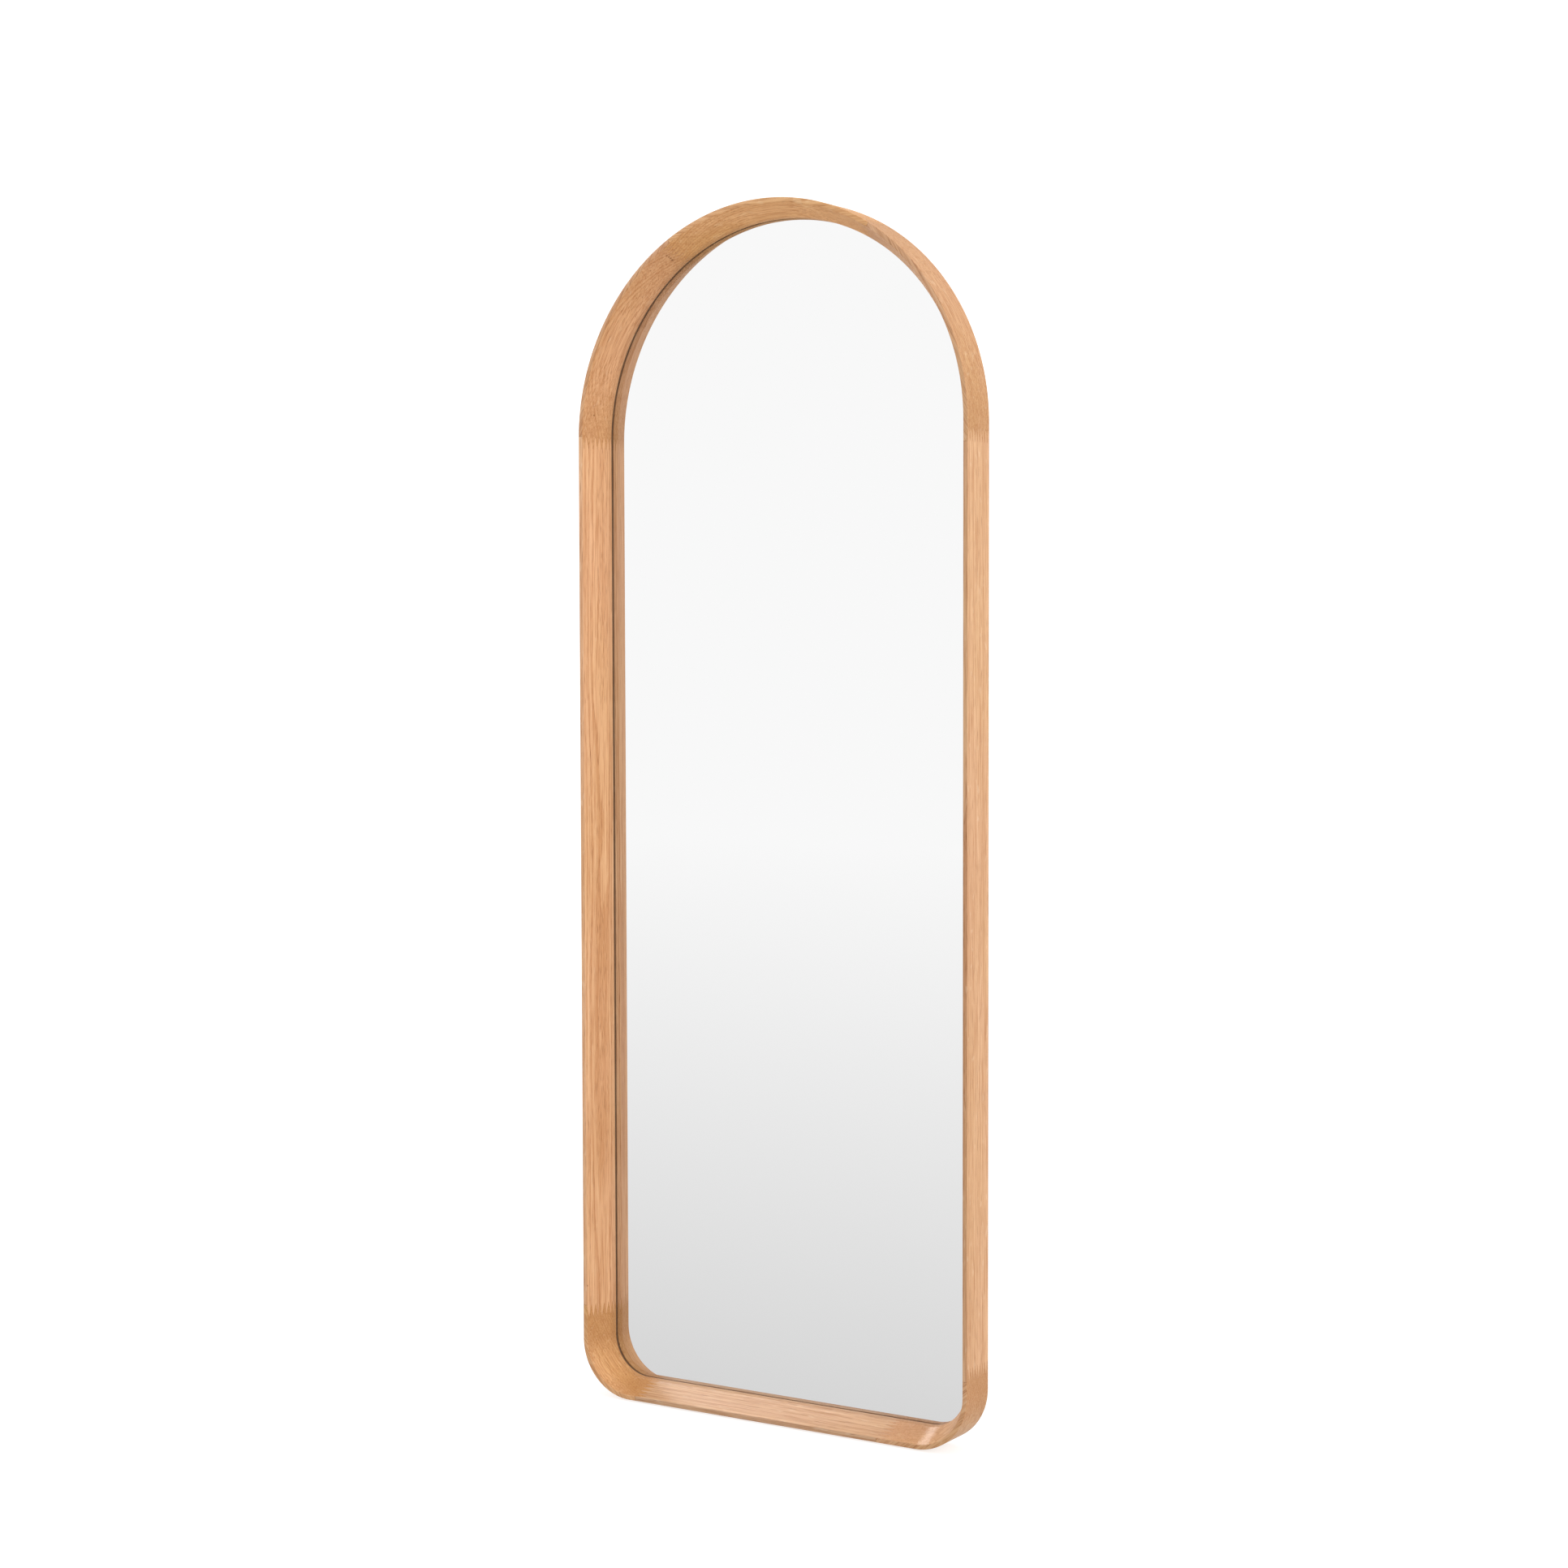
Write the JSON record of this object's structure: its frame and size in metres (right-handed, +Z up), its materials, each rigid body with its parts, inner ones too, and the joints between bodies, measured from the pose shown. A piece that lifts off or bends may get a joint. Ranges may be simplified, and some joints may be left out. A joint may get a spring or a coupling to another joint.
{
  "type": "arched floor mirror",
  "caption": "Arched full-length mirror in a deep finger-jointed oak box frame, with a sloping inner face, a clipped-in board back and hanging rings.",
  "frame": {"origin": "bottom centre of the whole mirror's box: on the floor, midway between the sides and between the frame's front plane and the backs of the wall bumpers", "axes": "+X to the viewer's right, the glass faces -Y, +Z up"},
  "size_m": [0.6, 0.0644, 1.6123],
  "materials": {
    "oiled_oak": "clear satin lacquer on solid oak",
    "silvered_glass": "polished silvered glass",
    "safety_film": "matt grey film",
    "fibreboard": "raw fibreboard",
    "zinc_steel": "bright zinc plate",
    "nickel_steel": "satin nickel plate",
    "grey_rubber": "matt rubber",
    "brown_felt": "pressed felt"
  },
  "bodies": {
    "frame": {"bottom_rail": "oiled_oak", "bottom_right_corner": "oiled_oak", "right_stile": "oiled_oak", "arch_right": "oiled_oak", "arch_crown": "oiled_oak", "arch_left": "oiled_oak", "left_stile": "oiled_oak", "bottom_left_corner": "oiled_oak", "mirror_pane": "silvered_glass", "safety_film": "safety_film", "back_panel": "fibreboard", "button_screw_right_1": "zinc_steel", "button_screw_left_1": "zinc_steel", "button_screw_right_2": "zinc_steel", "button_screw_left_2": "zinc_steel", "button_screw_right_3": "zinc_steel", "button_screw_left_3": "zinc_steel", "button_screw_right_4": "zinc_steel", "button_screw_left_4": "zinc_steel", "button_screw_arch_right": "zinc_steel", "button_screw_arch_top": "zinc_steel", "button_screw_arch_left": "zinc_steel", "button_screw_bottom_left": "zinc_steel", "button_screw_bottom_right": "zinc_steel", "hanger_strap_left": "zinc_steel", "hanger_screw_left_1": "zinc_steel", "hanger_screw_left_2": "zinc_steel", "wall_bumper_bottom_left": "grey_rubber", "wall_bumper_top_left": "grey_rubber", "setting_block_left": "grey_rubber", "floor_pad_left": "brown_felt", "hanger_strap_right": "zinc_steel", "hanger_screw_right_1": "zinc_steel", "hanger_screw_right_2": "zinc_steel", "wall_bumper_bottom_right": "grey_rubber", "wall_bumper_top_right": "grey_rubber", "setting_block_right": "grey_rubber", "floor_pad_right": "brown_felt"},
    "turn_button_right_1": {"turn_button_right_1": "nickel_steel"},
    "turn_button_left_1": {"turn_button_left_1": "nickel_steel"},
    "turn_button_right_2": {"turn_button_right_2": "nickel_steel"},
    "turn_button_left_2": {"turn_button_left_2": "nickel_steel"},
    "turn_button_right_3": {"turn_button_right_3": "nickel_steel"},
    "turn_button_left_3": {"turn_button_left_3": "nickel_steel"},
    "turn_button_right_4": {"turn_button_right_4": "nickel_steel"},
    "turn_button_left_4": {"turn_button_left_4": "nickel_steel"},
    "turn_button_arch_right": {"turn_button_arch_right": "nickel_steel"},
    "turn_button_arch_top": {"turn_button_arch_top": "nickel_steel"},
    "turn_button_arch_left": {"turn_button_arch_left": "nickel_steel"},
    "turn_button_bottom_left": {"turn_button_bottom_left": "nickel_steel"},
    "turn_button_bottom_right": {"turn_button_bottom_right": "nickel_steel"},
    "hanger_ring_left": {"hanger_ring_left": "zinc_steel"},
    "hanger_ring_right": {"hanger_ring_right": "zinc_steel"}
  },
  "joints": [
    {"name": "turn_button_right_1_turn", "type": "hinge", "parent": "frame", "child": "turn_button_right_1", "pos_m": [0.2905, 0.0266, 0.2223], "axis": [0, 1, 0], "range_deg": [-90, 90]},
    {"name": "turn_button_left_1_turn", "type": "hinge", "parent": "frame", "child": "turn_button_left_1", "pos_m": [-0.2905, 0.0266, 0.2223], "axis": [0, 1, 0], "range_deg": [-90, 90]},
    {"name": "turn_button_right_2_turn", "type": "hinge", "parent": "frame", "child": "turn_button_right_2", "pos_m": [0.2905, 0.0266, 0.5223], "axis": [0, 1, 0], "range_deg": [-90, 90]},
    {"name": "turn_button_left_2_turn", "type": "hinge", "parent": "frame", "child": "turn_button_left_2", "pos_m": [-0.2905, 0.0266, 0.5223], "axis": [0, 1, 0], "range_deg": [-90, 90]},
    {"name": "turn_button_right_3_turn", "type": "hinge", "parent": "frame", "child": "turn_button_right_3", "pos_m": [0.2905, 0.0266, 0.8223], "axis": [0, 1, 0], "range_deg": [-90, 90]},
    {"name": "turn_button_left_3_turn", "type": "hinge", "parent": "frame", "child": "turn_button_left_3", "pos_m": [-0.2905, 0.0266, 0.8223], "axis": [0, 1, 0], "range_deg": [-90, 90]},
    {"name": "turn_button_right_4_turn", "type": "hinge", "parent": "frame", "child": "turn_button_right_4", "pos_m": [0.2905, 0.0266, 1.1223], "axis": [0, 1, 0], "range_deg": [-90, 90]},
    {"name": "turn_button_left_4_turn", "type": "hinge", "parent": "frame", "child": "turn_button_left_4", "pos_m": [-0.2905, 0.0266, 1.1223], "axis": [0, 1, 0], "range_deg": [-90, 90]},
    {"name": "turn_button_arch_right_turn", "type": "hinge", "parent": "frame", "child": "turn_button_arch_right", "pos_m": [0.20541, 0.0266, 1.51771], "axis": [0, 1, 0], "range_deg": [-90, 90]},
    {"name": "turn_button_arch_top_turn", "type": "hinge", "parent": "frame", "child": "turn_button_arch_top", "pos_m": [0, 0.0266, 1.6028], "axis": [0, 1, 0], "range_deg": [-90, 90]},
    {"name": "turn_button_arch_left_turn", "type": "hinge", "parent": "frame", "child": "turn_button_arch_left", "pos_m": [-0.20541, 0.0266, 1.51771], "axis": [0, 1, 0], "range_deg": [-90, 90]},
    {"name": "turn_button_bottom_left_turn", "type": "hinge", "parent": "frame", "child": "turn_button_bottom_left", "pos_m": [-0.11, 0.0266, 0.0118], "axis": [0, 1, 0], "range_deg": [-90, 90]},
    {"name": "turn_button_bottom_right_turn", "type": "hinge", "parent": "frame", "child": "turn_button_bottom_right", "pos_m": [0.11, 0.0266, 0.0118], "axis": [0, 1, 0], "range_deg": [-90, 90]},
    {"name": "hanger_ring_left_swing", "type": "hinge", "parent": "frame", "child": "hanger_ring_left", "pos_m": [-0.2905, 0.02995, 1.2173], "axis": [1, 0, 0], "range_deg": [-1, 188]},
    {"name": "hanger_ring_right_swing", "type": "hinge", "parent": "frame", "child": "hanger_ring_right", "pos_m": [0.2905, 0.02995, 1.2173], "axis": [1, 0, 0], "range_deg": [-1, 188]}
  ]
}
